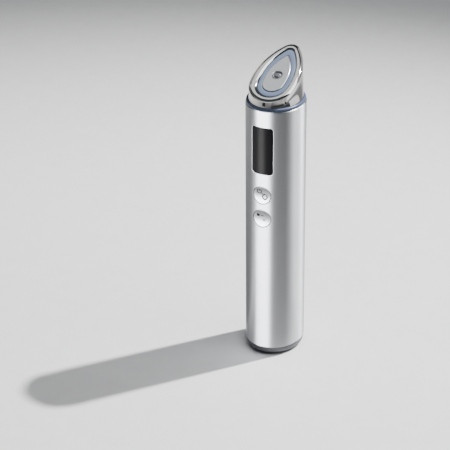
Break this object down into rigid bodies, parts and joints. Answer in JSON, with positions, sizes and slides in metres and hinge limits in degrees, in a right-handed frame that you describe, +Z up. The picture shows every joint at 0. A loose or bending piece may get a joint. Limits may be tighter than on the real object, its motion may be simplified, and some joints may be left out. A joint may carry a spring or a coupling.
{
  "type": "facial care wand",
  "caption": "Upright oval metal wand with a display, push buttons, a light ring and a slanted teardrop electrode head for facial skin care.",
  "frame": {"origin": "centre of the foot pad's underside, where the wand stands", "axes": "+Z up along the handle, -Y out of the display and the buttons, +X to the viewer's right"},
  "size_m": [0.032, 0.0402, 0.1724],
  "materials": {
    "satin_metal": "fine satin anodised",
    "button_metal": "satin, machined dish",
    "chrome_plate": "mirror",
    "polished_plate": "fine satin",
    "blue_guide": "translucent, pale blue",
    "blue_ring": "translucent, blue",
    "clear_lens": "clear",
    "dark_glass": "tinted, glossy",
    "black_seal": "matte",
    "display_panel": "glossy",
    "frame_plastic": "fine texture",
    "grey_silicone": "matte",
    "foot_rubber": "matte",
    "base_plastic": "fine satin",
    "board_green": "solder mask",
    "board_white": "solder mask",
    "lamp_white": "moulded lamp body",
    "chip_black": "moulded",
    "screw_steel": "zinc plated",
    "motor_steel": "plain",
    "weight_brass": "plain",
    "gold_contact": "gold plated",
    "cell_wrap": "shrink wrap",
    "piezo_white": "fired ceramic",
    "flex_amber": "polyimide"
  },
  "bodies": {
    "handle": {"body_shell": "satin_metal", "display_window": "dark_glass", "window_gasket": "black_seal", "display_module": "display_panel", "display_frame": "frame_plastic", "power_switch": "chip_black", "level_switch": "chip_black", "button_membrane": "grey_silicone", "button_frame": "frame_plastic", "main_board": "board_green", "board_screws": "screw_steel", "board_chips": "chip_black", "chassis": "frame_plastic", "battery_cell": "cell_wrap", "battery_pads": "black_seal", "driver_board": "board_green", "step_up_coil": "chip_black", "base_cap": "base_plastic", "base_seal": "black_seal", "foot_pad": "foot_rubber", "base_screws": "screw_steel", "charge_board": "board_green", "usb_socket": "motor_steel", "usb_tongue": "chip_black", "port_bezel": "base_plastic", "light_ring": "blue_ring", "ring_led_board": "board_white", "ring_leds": "lamp_white", "head_collar": "chrome_plate", "outer_electrode": "chrome_plate", "face_light_guide": "blue_guide", "inner_electrode": "polished_plate", "centre_lens": "clear_lens", "piezo_ring": "piezo_white", "head_gasket": "grey_silicone", "head_board": "board_white", "head_led": "lamp_white", "contact_pins": "gold_contact", "motor_cradle": "frame_plastic", "motor_can": "motor_steel", "head_flex": "flex_amber"},
    "power_key": {"power_button": "button_metal", "power_plunger": "chip_black"},
    "level_key": {"level_button": "button_metal", "level_plunger": "chip_black"},
    "rotor": {"motor_shaft": "motor_steel", "eccentric_weight": "weight_brass"}
  },
  "joints": [
    {"name": "power_press", "type": "slide", "parent": "handle", "child": "power_key", "axis": [0, 1, 0], "range_m": [0, 0.00035], "stiffness_N_per_m": 1500, "springref_m": -0.0004},
    {"name": "level_press", "type": "slide", "parent": "handle", "child": "level_key", "axis": [0, 1, 0], "range_m": [0, 0.00035], "stiffness_N_per_m": 1500, "springref_m": -0.0004},
    {"name": "rotor_spin", "type": "hinge", "parent": "handle", "child": "rotor", "pos_m": [0, 0.005, 0.15], "axis": [0, 0, 1], "continuous": true}
  ]
}
